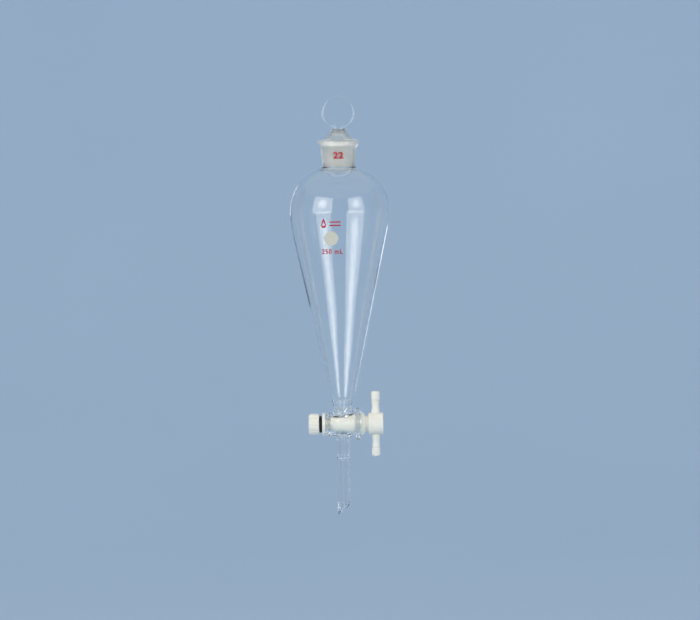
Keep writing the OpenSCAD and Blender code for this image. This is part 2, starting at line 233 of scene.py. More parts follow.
def revolve(build, profile, n, mats=None, axis="Z", origin=0.0):
    """Rings of a profile [(r, h)], joined. A radius under 1e-6 closes on the axis."""
    rings = []
    for r, h in profile:
        if r < 1e-6:
            rings.append(("tip", h))
            continue
        p = ring(r, h, n)
        if axis == "X":
            p = np.stack([p[:, 2], p[:, 0], p[:, 1] + origin], 1)
        rings.append(("ring", build.verts(p)))
    for i in range(len(rings) - 1):
        m = 0 if mats is None else mats(i)
        a, b = rings[i], rings[i + 1]
        if a[0] == "ring" and b[0] == "ring":
            build.band(a[1], b[1], m)
        elif a[0] == "ring":
            c = (0, 0, b[1]) if axis == "Z" else (b[1], 0, origin)
            build.cap(a[1], c, m)
        elif b[0] == "ring":
            c = (0, 0, a[1]) if axis == "Z" else (a[1], 0, origin)
            build.cap(b[1], c, m)
    return rings


def round_profile(pts, radii, steps=6):
    """Rounds the corners of an open profile; radii is one number a point."""
    out = []
    for i, p in enumerate(pts):
        p = np.array(p, float)
        rr = radii[i] if hasattr(radii, "__len__") else radii
        if i in (0, len(pts) - 1) or rr <= 0:
            out.append(p)
            continue
        a, b = np.array(pts[i - 1], float), np.array(pts[i + 1], float)
        u, v = a - p, b - p
        lu, lv = np.linalg.norm(u), np.linalg.norm(v)
        u, v = u / lu, v / lv
        ang = math.acos(np.clip(u @ v, -1, 1))
        if ang > math.pi - 0.05:
            out.append(p)
            continue
        d = min(rr / math.tan(ang / 2), 0.49 * lu, 0.49 * lv)
        r2 = d * math.tan(ang / 2)
        w = (u + v) / np.linalg.norm(u + v)
        c = p + w * r2 / math.sin(ang / 2)
        s, e = p + u * d - c, p + v * d - c
        total = math.acos(np.clip((s @ e) / (r2 * r2), -1, 1))
        cr = s[0] * e[1] - s[1] * e[0]
        for k in range(steps + 1):
            t = total * k / steps * (1 if cr > 0 else -1)
            out.append(
                c + np.array([s[0] * math.cos(t) - s[1] * math.sin(t), s[0] * math.sin(t) + s[1] * math.cos(t)])
            )
    return [tuple(p) for p in out]


def smin(a, b, k):
    h = np.maximum(k - np.abs(a - b), 0.0) / k
    return np.minimum(a, b) - h * h * k * 0.25


def smax(a, b, k):
    return -smin(-a, -b, k)


def surface_nets(f, lo, hi, h):
    """Vertices and quads of f = 0 in a box. It is left open where the surface leaves the box."""
    lo, hi = np.array(lo, float), np.array(hi, float)
    n = np.ceil((hi - lo) / h).astype(int) + 1
    ax = [lo[i] + h * np.arange(n[i]) for i in range(3)]
    X, Y, Z = np.meshgrid(*ax, indexing="ij")
    V = f(X, Y, Z)
    cells = tuple(int(k) - 1 for k in n)
    acc = np.zeros(cells + (3,))
    cnt = np.zeros(cells)
    crossings = []
    for axis in range(3):
        sa, sb = [slice(None)] * 3, [slice(None)] * 3
        sa[axis], sb[axis] = slice(0, -1), slice(1, None)
        va, vb = V[tuple(sa)], V[tuple(sb)]
        cross = (va < 0) != (vb < 0)
        t = np.where(cross, va / np.where(cross, va - vb, 1.0), 0.0)
        P = np.stack([X[tuple(sa)], Y[tuple(sa)], Z[tuple(sa)]], -1)
        P[..., axis] += t * h
        o1, o2 = [i for i in range(3) if i != axis]
        for d1 in (0, 1):
            for d2 in (0, 1):
                s = [slice(None)] * 3
                s[o1] = slice(d1, d1 + cells[o1])
                s[o2] = slice(d2, d2 + cells[o2])
                c = cross[tuple(s)]
                acc += np.where(c[..., None], P[tuple(s)], 0.0)
                cnt += c
        crossings.append((axis, o1, o2, cross, va < 0))
    active = cnt > 0
    vid = np.full(cells, -1)
    vid[active] = np.arange(int(active.sum()))
    verts = acc[active] / cnt[active][:, None]
    quads = []
    for axis, o1, o2, cross, neg in crossings:
        idx = np.argwhere(cross)
        keep = (idx[:, o1] >= 1) & (idx[:, o1] < cells[o1]) & (idx[:, o2] >= 1) & (idx[:, o2] < cells[o2])
        idx = idx[keep]
        flip = neg[tuple(idx.T)]
        c = []
        for d1, d2 in ((-1, -1), (0, -1), (0, 0), (-1, 0)):
            k = idx.copy()
            k[:, o1] += d1
            k[:, o2] += d2
            c.append(vid[tuple(k.T)])
        q = np.stack(c, 1)
        if axis == 1:
            flip = ~flip
        q[~flip] = q[~flip][:, ::-1]
        quads.append(q)
    quads = np.concatenate(quads)
    # onto the surface itself
    e = 1e-3
    for _ in range(5):
        x, y, z = verts.T
        g = np.stack(
            [
                (f(x + e, y, z) - f(x - e, y, z)) / (2 * e),
                (f(x, y + e, z) - f(x, y - e, z)) / (2 * e),
                (f(x, y, z + e) - f(x, y, z - e)) / (2 * e),
            ],
            1,
        )
        g2 = np.maximum((g * g).sum(1), 1e-6)
        step = (f(x, y, z) / g2)[:, None] * g
        length = np.linalg.norm(step, axis=1)
        step *= np.minimum(1.0, 0.5 * h / np.maximum(length, 1e-9))[:, None]
        verts = verts - step
    return verts, quads


def open_loops(quads, n_verts):
    """Closed loops of the edges that only one face uses, as lists of vertices."""
    e = np.concatenate([quads[:, [i, (i + 1) % 4]] for i in range(4)])
    key = np.sort(e, 1)
    code = key[:, 0].astype(np.int64) * n_verts + key[:, 1]
    _, first, count = np.unique(code, return_index=True, return_counts=True)
    nxt = {}
    for i in first[count == 1]:
        nxt[int(e[i, 0])] = int(e[i, 1])
    loops = []
    while nxt:
        s = next(iter(nxt))
        loop, k = [], s
        while k in nxt:
            loop.append(k)
            k = nxt.pop(k)
        loops.append(loop)
    return [l for l in loops if len(l) > 8]


# --------------------------------------------------------------- materials -
def new_mat(name):
    m = bpy.data.materials.new(name)
    m.use_nodes = True
    nt = m.node_tree
    return m, nt, nt.nodes["Principled BSDF"]


def node(nt, kind, **values):
    n = nt.nodes.new(kind)
    for k, v in values.items():
        if hasattr(n, k):
            setattr(n, k, v)
        else:
            n.inputs[k.replace("_", " ")].default_value = v
    return n


def object_coords(nt, scale=(1, 1, 1)):
    tc = nt.nodes.new("ShaderNodeTexCoord")
    mp = nt.nodes.new("ShaderNodeMapping")
    mp.inputs["Scale"].default_value = scale
    nt.links.new(tc.outputs["Object"], mp.inputs["Vector"])
    return mp.outputs["Vector"]


def ramp(nt, fac, stops):
    r = nt.nodes.new("ShaderNodeValToRGB")
    els = r.color_ramp.elements
    while len(els) < len(stops):
        els.new(0.5)
    for e, (p, c) in zip(els, stops):
        e.position = p
        e.color = (*c, 1) if len(c) == 3 else c
    nt.links.new(fac, r.inputs["Fac"])
    return r.outputs["Color"]


def bump(nt, height, strength, distance, normal=None):
    b = nt.nodes.new("ShaderNodeBump")
    b.inputs["Strength"].default_value = strength
    b.inputs["Distance"].default_value = distance
    nt.links.new(height, b.inputs["Height"])
    if normal is not None:
        nt.links.new(normal, b.inputs["Normal"])
    return b.outputs["Normal"]


def clear_glass():
    m, nt, p = new_mat("borosilicate_glass")
    p.inputs["Base Color"].default_value = (0.985, 0.995, 0.992, 1)
    p.inputs["Roughness"].default_value = 0.0
    p.inputs["IOR"].default_value = 1.474
    p.inputs["Transmission Weight"].default_value = 1.0
    # drawn glass: long, very shallow waves along the axis and round it
    v = object_coords(nt, (60, 60, 9))
    n1 = node(nt, "ShaderNodeTexNoise", Scale=1.0, Detail=2.0, Roughness=0.45)
    nt.links.new(v, n1.inputs["Vector"])
    nt.links.new(bump(nt, n1.outputs["Fac"], 0.10, 0.0006), p.inputs["Normal"])
    return m


def ground_glass():
    m, nt, p = new_mat("ground_joint_glass")
    p.inputs["IOR"].default_value = 1.474
    p.inputs["Transmission Weight"].default_value = 0.38
    v = object_coords(nt, (900, 900, 2600))
    grit = node(nt, "ShaderNodeTexNoise", Scale=1.0, Detail=4.0, Roughness=0.7)
    nt.links.new(v, grit.inputs["Vector"])
    cloud = node(nt, "ShaderNodeTexNoise", Scale=120.0, Detail=2.0)
    nt.links.new(object_coords(nt), cloud.inputs["Vector"])
    nt.links.new(
        ramp(nt, cloud.outputs["Fac"], [(0.3, (0.80, 0.775, 0.705)), (0.7, (0.88, 0.86, 0.795))]),
        p.inputs["Base Color"],
    )
    mr = node(nt, "ShaderNodeMapRange")
    mr.inputs["To Min"].default_value = 0.42
    mr.inputs["To Max"].default_value = 0.62
    nt.links.new(grit.outputs["Fac"], mr.inputs["Value"])
    nt.links.new(mr.outputs["Result"], p.inputs["Roughness"])
    nt.links.new(bump(nt, grit.outputs["Fac"], 0.35, 0.00006), p.inputs["Normal"])
    return m


def frosted_glass():
    """Glass that is only lightly frosted, as beside a ground joint."""
    m, nt, p = new_mat("frosted_glass")
    p.inputs["IOR"].default_value = 1.474
    p.inputs["Transmission Weight"].default_value = 0.88
    grit = node(nt, "ShaderNodeTexNoise", Scale=1.0, Detail=4.0, Roughness=0.7)
    nt.links.new(object_coords(nt, (1200, 1200, 1500)), grit.inputs["Vector"])
    nt.links.new(
        ramp(nt, grit.outputs["Fac"], [(0.3, (0.88, 0.86, 0.80)), (0.7, (0.95, 0.94, 0.89))]),
        p.inputs["Base Color"],
    )
    mr = node(nt, "ShaderNodeMapRange")
    mr.inputs["To Min"].default_value = 0.14
    mr.inputs["To Max"].default_value = 0.26
    nt.links.new(grit.outputs["Fac"], mr.inputs["Value"])
    nt.links.new(mr.outputs["Result"], p.inputs["Roughness"])
    nt.links.new(bump(nt, grit.outputs["Fac"], 0.2, 0.00005), p.inputs["Normal"])
    return m


def ptfe(name="ptfe", axis="X"):
    m, nt, p = new_mat(name)
    co = object_coords(nt)
    cloud = node(nt, "ShaderNodeTexNoise", Scale=260.0, Detail=4.0, Roughness=0.55)
    nt.links.new(co, cloud.inputs["Vector"])
    nt.links.new(
        ramp(nt, cloud.outputs["Fac"], [(0.25, (0.80, 0.765, 0.655)), (0.75, (0.865, 0.835, 0.745))]),
        p.inputs["Base Color"],
    )
    rings = node(nt, "ShaderNodeTexWave", wave_type="BANDS", bands_direction=axis, wave_profile="SIN")
    rings.inputs["Scale"].default_value = 900.0
    rings.inputs["Distortion"].default_value = 1.2
    rings.inputs["Detail"].default_value = 2.0
    nt.links.new(co, rings.inputs["Vector"])
    fine = node(nt, "ShaderNodeTexNoise", Scale=2400.0, Detail=3.0)
    nt.links.new(co, fine.inputs["Vector"])
    mr = node(nt, "ShaderNodeMapRange")
    mr.inputs["To Min"].default_value = 0.34
    mr.inputs["To Max"].default_value = 0.52
    nt.links.new(cloud.outputs["Fac"], mr.inputs["Value"])
    nt.links.new(mr.outputs["Result"], p.inputs["Roughness"])
    b1 = bump(nt, rings.outputs["Fac"], 0.25, 0.00003)
    nt.links.new(bump(nt, fine.outputs["Fac"], 0.2, 0.00003, b1), p.inputs["Normal"])
    p.inputs["IOR"].default_value = 1.38
    p.inputs["Subsurface Weight"].default_value = 0.35
    p.inputs["Subsurface Radius"].default_value = (1.0, 0.9, 0.75)
    p.inputs["Subsurface Scale"].default_value = 0.0016
    return m


def rubber():
    m, nt, p = new_mat("black_rubber")
    p.inputs["Specular IOR Level"].default_value = 0.22
    co = object_coords(nt)
    n1 = node(nt, "ShaderNodeTexNoise", Scale=1800.0, Detail=4.0, Roughness=0.6)
    nt.links.new(co, n1.inputs["Vector"])
    nt.links.new(
        ramp(nt, n1.outputs["Fac"], [(0.3, (0.009, 0.009, 0.010)), (0.75, (0.026, 0.026, 0.027))]),
        p.inputs["Base Color"],
    )
    mr = node(nt, "ShaderNodeMapRange")
    mr.inputs["To Min"].default_value = 0.42
    mr.inputs["To Max"].default_value = 0.66
    nt.links.new(n1.outputs["Fac"], mr.inputs["Value"])
    nt.links.new(mr.outputs["Result"], p.inputs["Roughness"])
    nt.links.new(bump(nt, n1.outputs["Fac"], 0.3, 0.00004), p.inputs["Normal"])
    return m


def enamel(name, lo, hi, rough, specular=0.5):
    m, nt, p = new_mat(name)
    p.inputs["Specular IOR Level"].default_value = specular
    co = object_coords(nt)
    n1 = node(nt, "ShaderNodeTexNoise", Scale=900.0, Detail=5.0, Roughness=0.65)
    nt.links.new(co, n1.inputs["Vector"])
    nt.links.new(ramp(nt, n1.outputs["Fac"], [(0.3, lo), (0.7, hi)]), p.inputs["Base Color"])
    mr = node(nt, "ShaderNodeMapRange")
    mr.inputs["To Min"].default_value = rough - 0.08
    mr.inputs["To Max"].default_value = rough + 0.12
    nt.links.new(n1.outputs["Fac"], mr.inputs["Value"])
    nt.links.new(mr.outputs["Result"], p.inputs["Roughness"])
    nt.links.new(bump(nt, n1.outputs["Fac"], 0.25, 0.00003), p.inputs["Normal"])
    return m


GLASS = clear_glass()
GROUND = ground_glass()
FROSTED = frosted_glass()
PTFE_X = ptfe("ptfe_turned", "X")
PTFE_Z = ptfe("ptfe_bar", "Z")
RUBBER = rubber()
RED = enamel("red_enamel", (0.40, 0.004, 0.016), (0.52, 0.008, 0.028), 0.5, 0.18)
IVORY = enamel("ivory_enamel", (0.53, 0.515, 0.41), (0.62, 0.605, 0.50), 0.62)

# -------------------------------------------------------------- glass body -
CUT_TOP, CUT_LOW = 88.0, 50.0
SEG = 224

arm_out = spline(
    [(60, 6.9), (70, 6.7), (75, 6.4), (78, 6.3), (80.2, 6.45), (81.8, 6.95), (82.8, 7.42), (83.6, 7.62), (84.4, 7.5)]
    + [(z, float(tail_r(z))) for z in (86, 87, 88, 89, 90)]
)
arm_in = spline(
    [(60, 2.0), (74.6, 2.0), (75.8, 2.35), (77.6, 3.2), (80.6, 4.3), (82.4, 4.75), (84, 5.25)]
    + [(z, float(bulb_in_r(z))) for z in (86, 87, 88, 89, 90)]
)
low_out = spline([(44, 4.62), (48, 4.62), (52, 4.64), (55, 4.72), (58, 5.0), (62, 5.6), (68, 6.2)])


def cock_sdf(x, y, z):
    rho = np.sqrt(y * y + (z - COCK_Z) ** 2)
    r = np.sqrt(x * x + y * y)
    barrel = rho - (8.0 + (x + 8.0) * 1.1 / 16.0)
    e0 = (np.sqrt(((x + 10.75) / 2.0) ** 2 + ((rho - 7.5) / 1.8) ** 2) - 1.0) * 1.8
    e1 = (np.sqrt(((x - 11.25) / 2.35) ** 2 + ((rho - 8.9) / 3.0) ** 2) - 1.0) * 2.3
    barrel = smin(smin(barrel, e0, 0.9), e1, 1.4)
    barrel = smax(smax(barrel, -12.6 - x, 0.9), x - 13.6, 0.9)
    upper = np.maximum(r - arm_out(z), COCK_Z - z)
    lower = np.maximum(r - low_out(z), z - COCK_Z)
    outer = smin(smin(barrel, upper, 3.6), lower, 3.0)
    bore = rho - (plug_r(x) + 0.05)
    lum_up = np.maximum(r - arm_in(z), COCK_Z - z)
    lum_low = np.maximum(r - 2.0, z - COCK_Z)
    cavity = smin(smin(bore, lum_up, 0.35), lum_low, 0.35)
    return smax(outer, -cavity, 0.45)


def glass_body():
    b = Build()
    H = 0.36
    verts, quads = surface_nets(cock_sdf, (-13.5, -12.7, CUT_LOW), (14.5, 12.7, CUT_TOP), H)
    base = b.verts(verts)
    b.faces(quads + base[0])
    loops = {}
    for loop in open_loops(quads, len(verts)):
        p = verts[loop]
        if np.ptp(p[:, 2]) > 3 * H:
            continue
        where = "top" if p[:, 2].mean() > COCK_Z else "low"
        loops.setdefault(where, []).append((np.hypot(p[:, 0], p[:, 1]).mean(), [l + int(base[0]) for l in loop]))
    for where in loops:
        loops[where].sort(key=lambda t: t[0])
    top_in, top_out = loops["top"][0][1], loops["top"][-1][1]
    low_in, low_out_l = loops["low"][0][1], loops["low"][-1][1]

    # outside and inside of the pear and the neck, as one run of rings from
    # the lower edge outside, over the rim, to the lower edge inside
    prof = []
    z0 = CUT_TOP + 0.5
    for z in np.concatenate([np.arange(z0, 100, 0.8), np.arange(100, 200, 3.0), np.arange(200, BULB_Z, 1.0)]):
        prof.append((float(skin_r(z)), float(z), 0))
    t_end = math.asin(((NECK_SEAM + 0.42 - BULB_Z) / SHOULDER_H) ** (SHOULDER_N / 2))
    for i in range(0, 49):
        t = t_end * i / 48
        prof.append(
            (BULB_R * math.cos(t) ** (2 / SHOULDER_N), BULB_Z + SHOULDER_H * math.sin(t) ** (2 / SHOULDER_N), 0)
        )
    a = np.array(prof[-1][:2])
    c = np.array([NECK_LOW_R, FILLET_Z])
    k = np.array([NECK_LOW_R - 0.02, BULB_Z + SHOULDER_H - 0.95])
    for i in range(1, 11):
        u = i / 10
        q = (1 - u) ** 2 * a + 2 * u * (1 - u) * k + u * u * c
        prof.append((q[0], q[1], 0))
    for z in np.arange(FILLET_Z + 0.8, NECK_TOP - 6.6, 0.8):
        prof.append((float(neck_r(z)), float(z), 0))
    rim = round_profile(
        [
            (13.06, NECK_TOP - 6.9), (13.12, NECK_TOP - 5.9), (14.8, NECK_TOP - 3.7), (15.1, NECK_TOP - 2.5),
            (14.98, NECK_TOP - 1.3), (14.45, NECK_TOP - 0.3), (13.5, NECK_TOP), (11.8, NECK_TOP),
            (11.02, GROUND1 - 0.05), (10.98, GROUND1 - 0.5),
        ],
        [0, 3.0, 3.0, 4.0, 4.0, 1.2, 1.5, 0.7, 0.8, 0],
        7,
    )
    prof += [(r, z, 0) for r, z in rim]
    for z in np.linspace(GROUND1 - 0.9, GROUND0, 22):
        prof.append((10.0 + (z - GROUND0) / 20.0, float(z), 1))
    ti = math.acos((12.0 / (BULB_R - WALL)) ** (SHOULDER_N / 2))
    corner = np.array(
        [(BULB_R - WALL) * math.cos(ti) ** (2 / SHOULDER_N), BULB_Z + (SHOULDER_H - WALL) * math.sin(ti) ** (2 / SHOULDER_N)]
    )
    a, k = np.array([10.0, NECK_SEAM]), np.array([10.0, corner[1] + 0.1])
    for i in range(0, 9):
        u = i / 8
        q = (1 - u) ** 2 * a + 2 * u * (1 - u) * k + u * u * corner
        prof.append((q[0], q[1], 2))
    for i in range(47, -1, -1):
        t = ti * i / 48
        prof.append(
            (
                (BULB_R - WALL) * math.cos(t) ** (2 / SHOULDER_N),
                BULB_Z + (SHOULDER_H - WALL) * math.sin(t) ** (2 / SHOULDER_N),
                2,
            )
        )
    for z in np.concatenate(
        [np.arange(BULB_Z - 1, 200, -1.0), np.arange(200, 100, -3.0), np.arange(100, z0 - 0.01, -0.8)]
    ):
        if z > TAN_Z:
            r = wc_r + math.sqrt((WAIST_R - WALL) ** 2 - (z - BULB_Z) ** 2)
        else:
            r = float(bulb_in_r(z))
        prof.append((r, float(z), 2))
    if abs(prof[-1][1] - z0) > 0.2:
        prof.append((float(bulb_in_r(z0)), z0, 2))

    theta = np.arange(SEG) * 2 * math.pi / SEG
    rings = []
    for r, z, kind in prof:
        p = ring(r, z, SEG)
        if kind == 2:
            # the blown wall isn't quite even: slow waves on the inside only
            fade = np.clip((z - 96) / 30, 0, 1) * np.clip((248 - z) / 20, 0, 1)
            w = fade * (
                0.10 * np.sin(2 * theta + z / 31.0)
                + 0.06 * np.sin(3 * theta - z / 17.0 + 1.3)
                + 0.05 * np.sin(5 * theta + z / 11.0 + 0.4)
            )
            scale = (r + np.minimum(w, 0.16)) / r
            p[:, 0] *= scale
            p[:, 1] *= scale
        rings.append(b.verts(p))
    for i in range(len(rings) - 1):
        mat = 1 if prof[i][2] == 1 and prof[i + 1][2] == 1 else 0
        b.band(rings[i], rings[i + 1], mat)
    b.zip(top_out, rings[0])
    b.zip(top_in, rings[-1])

    # lower arm and delivery stem, outside then inside
    zs = np.concatenate([np.arange(CUT_LOW - 0.5, 44, -0.7), np.arange(44, 39.4, -0.2), np.arange(39, 11, -2.0), [10.0, 9.2]])
    stem_out = spline(
        [(0, 4.3), (38, 4.3), (40.0, 4.3), (40.6, 4.36), (41.1, 4.58), (41.6, 4.74), (42.1, 4.66), (42.7, 4.42), (43.4, 4.44), (45, 4.60), (47, 4.62), (50, 4.62)]
    )
    stem_in = spline([(0, 1.6), (38, 1.6), (40.0, 1.62), (41.4, 1.78), (42.4, 1.92), (44, 2.0), (50, 2.0)])
    out_rings = [b.verts(ring(float(stem_out(z)), z, SEG // 2)) for z in zs]
    in_rings = [b.verts(ring(float(stem_in(z)), z, SEG // 2)) for z in zs]
    b.zip(low_out_l, out_rings[0])
    b.zip(low_in, in_rings[0])
    for i in range(len(zs) - 1):
        b.band(out_rings[i], out_rings[i + 1])
        b.band(in_rings[i], in_rings[i + 1])
    t = np.arange(SEG // 2) * 2 * math.pi / (SEG // 2)

    turn = math.radians(-28)

    def slanted(r, lift):
        x, y = r * np.cos(t), r * np.sin(t)
        return np.stack([x, y, x * math.cos(turn) + y * math.sin(turn) + 4.3 + lift], 1)

    # the tip's cut edges are a little fire polished
    tip = [slanted(4.3, 0.8), slanted(4.3, 0.3), slanted(4.27, 0.13), slanted(4.17, 0.03), slanted(4.02, 0.0),
           slanted(2.9, 0.0), slanted(1.9, 0.0), slanted(1.7, 0.06), slanted(1.62, 0.2), slanted(1.6, 0.45)]
    tip = [b.verts(p) for p in tip]
    b.band(out_rings[-1], tip[0])
    for i in range(len(tip) - 1):
        b.band(tip[i], tip[i + 1])
    b.band(tip[-1], in_rings[-1])
    ob = b.object("glass_body", [GLASS, GROUND])
    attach(ob, "glass")
    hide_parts("neck_socket", "pear_bulb", "stopcock_barrel", "delivery_stem")
    return ob


# ----------------------------------------------------------------- stopper -
HEAD_Z = NECK_TOP + 4.6 + 12.0 + 3.3


def stopper_sdf(x, y, z):
    r = np.sqrt(x * x + y * y)
    dome = (np.sqrt((r / 9.93) ** 2 + ((z - GROUND0) / 7.2) ** 2) - 1.0) * 7.2
    taper = (r - (9.95 + (z - GROUND0) / 20.0)) * 0.99875
    shoulder = (r + (z - 275.3) * 1.03 - 10.55) / math.sqrt(1 + 1.03**2)
    top = smax(smax(taper, shoulder, 0.7), z - 279.7, 0.8)
    body = np.where(z < GROUND0, dome, top)
    q1 = np.maximum(r - 5.25, 0.0)
    q2 = np.maximum(np.abs(z - 280.0) - 0.55, 0.0)
    collar = np.sqrt(q1 * q1 + q2 * q2) - 0.45
    collar = np.where((r < 5.25) & (np.abs(z - 280.0) < 0.55), np.maximum(r - 5.25, np.abs(z - 280.0) - 0.55) - 0.45, collar)
    flat = 1.0 + 0.85 * np.clip((z - 280.4) / 6.5, 0.0, 1.0)
    rn = np.sqrt(x * x + (y * flat) ** 2)
    neck = np.maximum(np.maximum(rn - (4.95 - 0.09 * (z - 281.0)), 278.6 - z), z - 287.0)
    q = np.sqrt(x * x + (z - HEAD_Z) ** 2)
    a, c = q - 10.3, np.abs(y) - 0.75
    head = np.sqrt(np.maximum(a, 0) ** 2 + np.maximum(c, 0) ** 2) + np.minimum(np.maximum(a, c), 0.0) - 1.7
    outer = smin(smin(smin(body, collar, 0.8), neck, 1.0), head, 1.6)
    # sealed hollow
    d2 = (np.sqrt((r / 8.35) ** 2 + ((z - 254.9) / 6.0) ** 2) - 1.0) * 6.0
    t2 = smax(
        smax(r - (8.35 + (z - GROUND0) / 20.0), (r + (z - 271.5) * 1.05 - 8.9) / math.sqrt(1 + 1.05**2), 2.4),
        z - 277.8,
        1.6,
    )
    cavity = np.where(z < 254.9, d2, t2)
    return np.maximum(outer, -cavity)


def glass_stopper():
    b = Build()
    verts, quads = surface_nets(stopper_sdf, (-13.0, -11.9, 246.2), (13.0, 11.9, HEAD_Z + 12.8), 0.36)
    b.verts(verts)
    c = verts[quads].mean(1)
    rr = np.hypot(c[:, 0], c[:, 1])
    ground = (c[:, 2] > GROUND0) & (c[:, 2] < GROUND1) & (rr > 9.4 + (c[:, 2] - GROUND0) / 20.0)
    light = (c[:, 2] >= GROUND1) & (c[:, 2] < 280.9) & (rr > 13.4 - (c[:, 2] - 270.0) * 1.0) & (rr > 4.9)
    for q, g, h in zip(quads, ground, light):
        b.face(q, 2 if h else int(g))
    ob = b.object("glass_stopper", [GLASS, GROUND, FROSTED], recalc=False)
    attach(ob, "stopper")
    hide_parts("stopper")
    return ob


# --------------------------------------------------------- stopcock plug ---
def turned(name, profile, material, origin_z=COCK_Z, n=160, angle=32):
    b = Build()
    revolve(b, [(r, x) for x, r in profile], n, axis="X", origin=origin_z)
    return b.object(name, [material], smooth=angle)


def cut(ob, cutters):
    for c in cutters:
        mod = ob.modifiers.new("cut", "BOOLEAN")
        mod.operation = "DIFFERENCE"
        mod.solver = "EXACT"
        mod.object = c
    dg = bpy.context.evaluated_depsgraph_get()
    me = bpy.data.meshes.new_from_object(ob.evaluated_get(dg))
    ob.modifiers.clear()
    old = ob.data
    ob.data = me
    bpy.data.meshes.remove(old)
    for c in cutters:
        bpy.data.objects.remove(c)
    return ob


def rod(name, r, z0, z1, x, n=64):
    b = Build()
    p = ring(r, 0, n)
    p[:, 0] += x
    lo, hi = p.copy(), p.copy()
    lo[:, 2], hi[:, 2] = z0, z1
    a, c = b.verts(lo), b.verts(hi)
    b.band(a, c)
    b.cap(a, (x, 0, z0))
    b.cap(c, (x, 0, z1))
    return b.object(name, [PTFE_X])


PLUG_X1 = 13.7
PLUG_X0 = -9.0
HUB0, HUB1 = PLUG_X1 + 5.0, PLUG_X1 + 16.0
BAR_X = (HUB0 + HUB1) / 2
PITCH = 1.5
TAIL_X = -23.4


def plug():
    prof = [
        (PLUG_X0, 0.0), (PLUG_X0, plug_r(PLUG_X0)), (PLUG_X0 + 0.6, plug_r(PLUG_X0 + 0.6)),
        (PLUG_X1 - 0.5, plug_r(PLUG_X1 - 0.5)), (PLUG_X1 - 0.12, plug_r(PLUG_X1) - 0.12), (PLUG_X1, plug_r(PLUG_X1) + 0.05),
        (PLUG_X1, 8.3), (PLUG_X1 + 1.15, 8.3), (PLUG_X1 + 2.4, 7.1), (PLUG_X1 + 2.4, 5.85),
        (HUB0, 5.85), (HUB0, 7.3), (HUB0 + 1.2, 8.1), (HUB1, 8.1), (HUB1, 0.0),
    ]
    radii = [0, 0.35, 0, 0, 0, 0, 0.35, 0.4, 0.35, 0.45, 0.45, 0.5, 0.6, 0.55, 0]
    pts = round_profile(prof, radii, 5)
    # faint turned lines on the tapered length
    fine = []
    for i, (x, r) in enumerate(pts):
        fine.append((x, r))
        if i + 1 < len(pts):
            x2, r2 = pts[i + 1]
            if x2 - x > 4 and abs(r2 - r) < 4 and r > 1:
                k = int((x2 - x) / 1.2)
                for j in range(1, k):
                    fine.append((x + (x2 - x) * j / k, r + (r2 - r) * j / k))
    ob = turned("plug_and_hub", fine, PTFE_X, n=192)
    cut(ob, [rod("c1", 2.0, COCK_Z - 12, COCK_Z + 12, 0.0), rod("c2", 3.1, COCK_Z - 12, COCK_Z + 12, BAR_X)])
    ob.data.set_sharp_from_angle(angle=math.radians(32))
    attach(ob, "plug")
    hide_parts("stopcock_plug")

    # the threaded tail, a true helix
    b = Build()
    n = 120
    xs = np.arange(TAIL_X, PLUG_X0 + 0.05, 0.11)
    t = np.arange(n) * 2 * math.pi / n
    rings = []
    for x in xs:
        ph = ((x / PITCH - t / (2 * math.pi)) % 1.0)
        tri = np.clip(1.35 - 2.7 * np.abs(ph - 0.5) * 1.25, 0, 1)
        fade = np.clip((x - TAIL_X - 0.4) / 1.2, 0, 1) * np.clip((-10.4 - x) / 0.8, 0, 1)
        r = 3.12 + 0.66 * tri * fade + (0.3 * (1 - fade) if x > -12 else 0.0)
        if x < TAIL_X + 0.45:
            r = np.minimum(r, 2.75 + (x - TAIL_X) * 0.8)
        rings.append(b.verts(np.stack([np.full(n, x), r * np.cos(t), r * np.sin(t) + COCK_Z], 1)))
    for i in range(len(rings) - 1):
        b.band(rings[i], rings[i + 1])
    b.cap(rings[0], (TAIL_X, 0, COCK_Z))
    b.cap(rings[-1], (xs[-1], 0, COCK_Z))
    th = b.object("threaded_tail", [PTFE_X], smooth=40)
    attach(th, "plug")
    return ob


def bar():
    h, tip, rt, rm = 23.9, 6.8, 3.12, 2.65
    half = round_profile(
        [
            (3.1, 0.0), (3.1, 9.0), (rm + 0.02, 11.6), (rm, h - tip - 2.6), (rt - 0.12, h - tip - 0.48),
            (rt - 0.62, h - tip - 0.34), (rt - 0.62, h - tip + 0.24), (rt, h - tip + 0.42), (rt, h), (0.0, h),
        ],
        [0, 1.5, 2.0, 2.0, 0.1, 0.05, 0.05, 0.1, 1.5, 0],
        7,
    )
    prof = [(r, -z) for r, z in reversed(half)] + half[1:]
    b = Build()
    revolve(b, [(r, z) for r, z in prof], 96)
    ob = b.object("handle_bar_rod", [PTFE_Z], smooth=34)
    ob.data.transform(Matrix.Translation((BAR_X * MM, 0, COCK_Z * MM)))
    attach(ob, "plug")
    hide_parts("handle_bar")
    return ob


# --------------------------------------------------- washer, ring and nut --
def washer():
    x1, x0 = -12.7, -15.0
    prof = round_profile(
        [(x1, 3.9), (x1, 7.9), (x1 - 0.45, 8.3), (x0 + 0.5, 8.3), (x0, 7.7), (x0, 3.9), (x1, 3.9)],
        [0, 0.25, 0.25, 0.3, 0.3, 0.15, 0],
        4,
    )
    b = Build()
    rings = []
    for x, r in prof[:-1]:
        p = ring(r, x, 144)
        rings.append(b.verts(np.stack([p[:, 2], p[:, 0], p[:, 1] + COCK_Z], 1)))
    for i in range(len(rings)):
        b.band(rings[i], rings[(i + 1) % len(rings)])
    ob = b.object("washer", [PTFE_X], smooth=34)
    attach(ob, "seals")
    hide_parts("ptfe_washer")
    return ob


